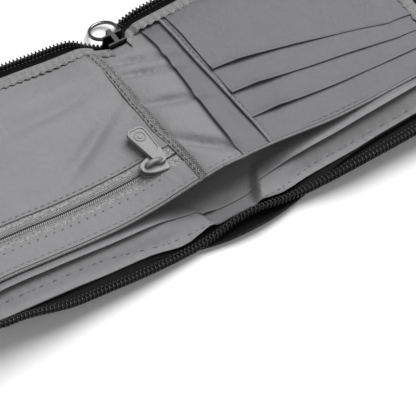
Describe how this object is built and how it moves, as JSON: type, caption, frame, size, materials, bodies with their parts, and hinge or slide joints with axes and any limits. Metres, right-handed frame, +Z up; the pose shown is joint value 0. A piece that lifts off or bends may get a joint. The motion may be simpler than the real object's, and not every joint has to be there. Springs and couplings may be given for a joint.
{
  "type": "bifold wallet",
  "caption": "Zip-round bifold wallet lying open: bill compartment with divider, zipped coin pocket, slip pockets and card slots, coil zipper with ring puller.",
  "frame": {"origin": "centre of the spine's underside, on the surface the wallet lies on", "axes": "+X from the left half to the right half, +Y towards the end of the spine where the main slider is parked, +Z up"},
  "size_m": [0.2454, 0.1132, 0.0237],
  "materials": {
    "outer_fabric": "black woven nylon, dull",
    "board": "plain thin board",
    "black_tape": "black woven zipper tape",
    "black_coil": "black nylon coil, semi-gloss",
    "dark_metal": "gunmetal plate, polished",
    "grey_paint": "grey paint, satin",
    "grey_coil": "grey nylon coil",
    "grey_tape": "grey woven tape",
    "grey_binding": "grey nylon binding",
    "grey_lining": "grey coated nylon, slight sheen"
  },
  "bodies": {
    "spine": {"cover_spine": "outer_fabric", "bill_lining_spine": "grey_lining", "bill_divider_spine": "grey_lining", "inner_panel_spine": "grey_lining", "main_tape_spine_near": "black_tape", "main_tape_spine_far": "black_tape", "main_coil_spine_near_left": "black_coil", "main_coil_spine_near_right": "black_coil", "main_coil_spine_far_left": "black_coil", "main_coil_spine_far_right": "black_coil", "main_stop_near": "black_coil"},
    "left_half": {"bill_binding_far_left": "grey_binding", "bill_binding_outer_left": "grey_binding", "bill_divider_left": "grey_lining", "bill_lining_left": "grey_lining", "cover_left": "outer_fabric", "inner_panel_left": "grey_lining", "main_coil_left": "black_coil", "main_tape_left": "black_tape", "panel_piping_left": "grey_binding", "stiffener_left": "board", "coin_hem_far": "grey_binding", "coin_hem_outer": "grey_binding", "coin_pocket_front_far": "grey_lining", "coin_pocket_front_near": "grey_lining", "coin_seam_strip": "grey_binding", "coin_zip_coil_far": "grey_coil", "coin_zip_coil_near": "grey_coil", "coin_zip_tape_far": "grey_tape", "coin_zip_tape_near": "grey_tape"},
    "right_half": {"bill_binding_far_right": "grey_binding", "bill_binding_outer_right": "grey_binding", "bill_divider_right": "grey_lining", "bill_lining_right": "grey_lining", "cover_right": "outer_fabric", "inner_panel_right": "grey_lining", "main_coil_right": "black_coil", "main_tape_right": "black_tape", "panel_piping_right": "grey_binding", "stiffener_right": "board", "card_panel_piping": "grey_binding", "card_slot_far": "grey_lining", "card_slot_middle": "grey_lining", "card_slot_near": "grey_lining", "slip_pocket_front": "grey_lining", "slip_pocket_rear": "grey_lining"},
    "coin_slider": {"coin_zip_slider": "grey_paint"},
    "coin_puller": {"coin_puller_tab": "grey_paint"},
    "main_slider": {"main_zip_slider": "dark_metal"},
    "main_puller": {"main_ring": "dark_metal"}
  },
  "joints": [
    {"name": "left_fold", "type": "hinge", "parent": "spine", "child": "left_half", "pos_m": [-0.01, 0, 0.0022], "axis": [0, 1, 0], "range_deg": [-8, 82], "deforming": ["bill_divider_spine", "inner_panel_spine"]},
    {"name": "right_fold", "type": "hinge", "parent": "spine", "child": "right_half", "pos_m": [0.01, 0, 0.0022], "axis": [0, -1, 0], "range_deg": [-5, 85], "deforming": ["bill_divider_spine", "inner_panel_spine"]},
    {"name": "coin_zip_travel", "type": "slide", "parent": "left_half", "child": "coin_slider", "axis": [-0.9903, 0, 0.1392], "range_m": [0, 0.074]},
    {"name": "coin_puller_swivel", "type": "hinge", "parent": "coin_slider", "child": "coin_puller", "pos_m": [-0.01927, -0.0201, 0.01239], "axis": [0.1392, 0, 0.9903], "range_deg": [-160, 25]},
    {"name": "main_zip_travel", "type": "slide", "parent": "spine", "child": "main_slider", "axis": [0, 0, 1], "range_m": [0, 0.002]},
    {"name": "main_ring_swing", "type": "hinge", "parent": "main_slider", "child": "main_puller", "pos_m": [0, 0.04685, 0.0058], "axis": [1, 0, 0], "range_deg": [0, 85]}
  ]
}
